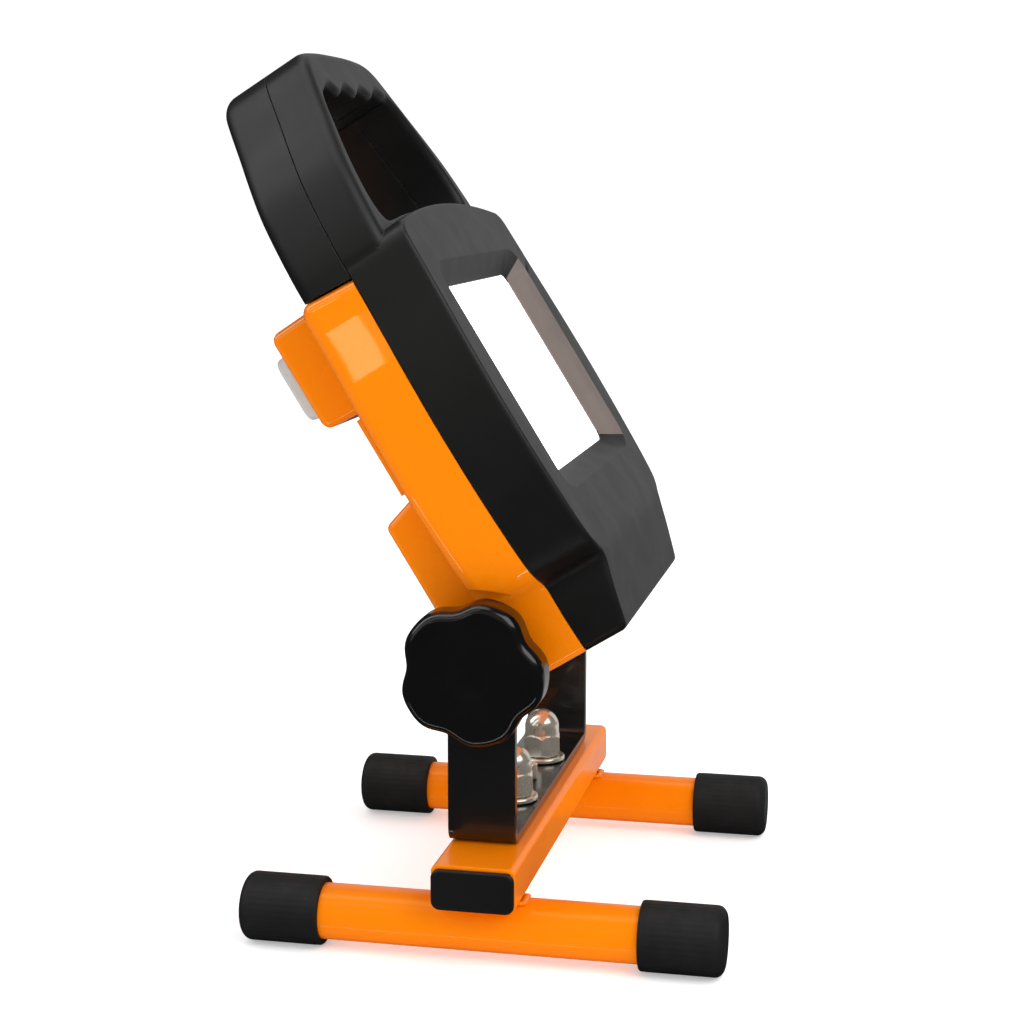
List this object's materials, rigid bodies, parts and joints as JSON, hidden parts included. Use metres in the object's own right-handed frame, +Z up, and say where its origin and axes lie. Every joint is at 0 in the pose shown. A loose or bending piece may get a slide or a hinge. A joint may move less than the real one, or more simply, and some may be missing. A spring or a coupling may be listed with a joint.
{
  "type": "work light",
  "caption": "Rechargeable LED work light: tilting lamp head with a carrying handle, held by star knobs in a U-bracket on an H-shaped tube stand.",
  "frame": {"origin": "middle of the light on the floor it stands on", "axes": "+Z up, the lamp shines towards -Y, +X along the tilt axis and the crossbar"},
  "size_m": [0.1792, 0.1776, 0.2956],
  "materials": {
    "orange_paint": "gloss orange powder coat on steel tube",
    "orange_casting": "gloss orange paint on a die casting",
    "black_plastic": "fine-grained moulded plastic, satin",
    "knob_plastic": "smooth glossy moulded plastic",
    "black_rubber": "matte soft rubber",
    "black_paint": "gloss black powder coat on steel strip",
    "zinc_steel": "bright plated steel with a faint yellow tint",
    "window_glass": "clear toughened glass",
    "aluminium": "satin",
    "led_phosphor": "yellow phosphor gel",
    "green_board": "satin circuit board lacquer",
    "brass": "bright turned brass, also standing for copper wire",
    "cell_wrap": "printed sleeve on a metal can",
    "grey_boot": "translucent grey silicone"
  },
  "bodies": {
    "stand": {"crossbar": "orange_paint", "crossbar_plug_left": "black_plastic", "crossbar_plug_right": "black_plastic", "foot_tube_left": "orange_paint", "foot_tube_right": "orange_paint", "foot_cap_left_front": "black_rubber", "foot_cap_left_rear": "black_rubber", "foot_cap_right_front": "black_rubber", "foot_cap_right_rear": "black_rubber", "bracket": "black_paint", "base_bolt_left": "zinc_steel", "base_bolt_right": "zinc_steel", "base_washer_left": "zinc_steel", "base_washer_right": "zinc_steel", "dome_nut_left": "zinc_steel", "dome_nut_right": "zinc_steel", "bracket_screw": "zinc_steel"},
    "head": {"front_bezel": "black_plastic", "handle_rear": "black_plastic", "housing": "orange_casting", "heat_sink": "orange_casting", "switch_box": "orange_casting", "battery_box": "orange_casting", "lens_glass": "window_glass", "lens_gasket": "black_rubber", "reflector": "aluminium", "led_board": "aluminium", "led_emitter": "led_phosphor", "chassis_plate": "aluminium", "driver_board": "green_board", "driver_choke": "brass", "driver_capacitor": "aluminium", "battery_tray": "black_plastic", "battery_cell_1": "cell_wrap", "battery_cell_2": "cell_wrap", "battery_cell_3": "cell_wrap", "switch_frame": "black_plastic", "switch_boot": "grey_boot", "charge_jack": "black_plastic", "pivot_insert_left": "brass", "pivot_insert_right": "brass", "friction_washer_left": "black_rubber", "friction_washer_right": "black_rubber", "case_screw_1": "zinc_steel", "case_screw_2": "zinc_steel", "case_screw_3": "zinc_steel", "case_screw_4": "zinc_steel", "handle_screw_1": "zinc_steel", "handle_screw_2": "zinc_steel", "battery_screw_1": "zinc_steel", "battery_screw_2": "zinc_steel"},
    "washer_left": {"knob_washer_left": "zinc_steel"},
    "knob_left": {"knob_left": "knob_plastic", "knob_stud_left": "zinc_steel"},
    "washer_right": {"knob_washer_right": "zinc_steel"},
    "knob_right": {"knob_right": "knob_plastic", "knob_stud_right": "zinc_steel"},
    "rocker": {"switch_rocker": "black_plastic"},
    "port_plug": {"port_plug": "black_rubber"}
  },
  "joints": [
    {"name": "head_tilt", "type": "hinge", "parent": "stand", "child": "head", "pos_m": [0, -0.0069, 0.0973], "axis": [1, 0, 0], "range_deg": [-70, 90]},
    {"name": "knob_left_travel", "type": "slide", "parent": "head", "child": "washer_left", "axis": [-1, 0, 0], "range_m": [0, 0.00201]},
    {"name": "knob_left_turn", "type": "hinge", "parent": "washer_left", "child": "knob_left", "pos_m": [-0.0773, -0.0069, 0.0973], "axis": [-1, 0, 0], "range_deg": [0, 720]},
    {"name": "knob_right_travel", "type": "slide", "parent": "head", "child": "washer_right", "axis": [1, 0, 0], "range_m": [0, 0.00201]},
    {"name": "knob_right_turn", "type": "hinge", "parent": "washer_right", "child": "knob_right", "pos_m": [0.0773, -0.0069, 0.0973], "axis": [1, 0, 0], "range_deg": [0, 720]},
    {"name": "switch_rock", "type": "hinge", "parent": "head", "child": "rocker", "pos_m": [-0.033, 0.05829, 0.18515], "axis": [1, 0, 0], "range_deg": [-18, 0]},
    {"name": "port_plug_pull", "type": "slide", "parent": "head", "child": "port_plug", "axis": [0, 0.8508, -0.5255], "range_m": [0, 0.012]}
  ],
  "couplings": [
    {"joint": "knob_left_travel", "follows": "knob_left_turn", "m_per_rad": 0.00015915},
    {"joint": "knob_right_travel", "follows": "knob_right_turn", "m_per_rad": 0.00015915}
  ]
}
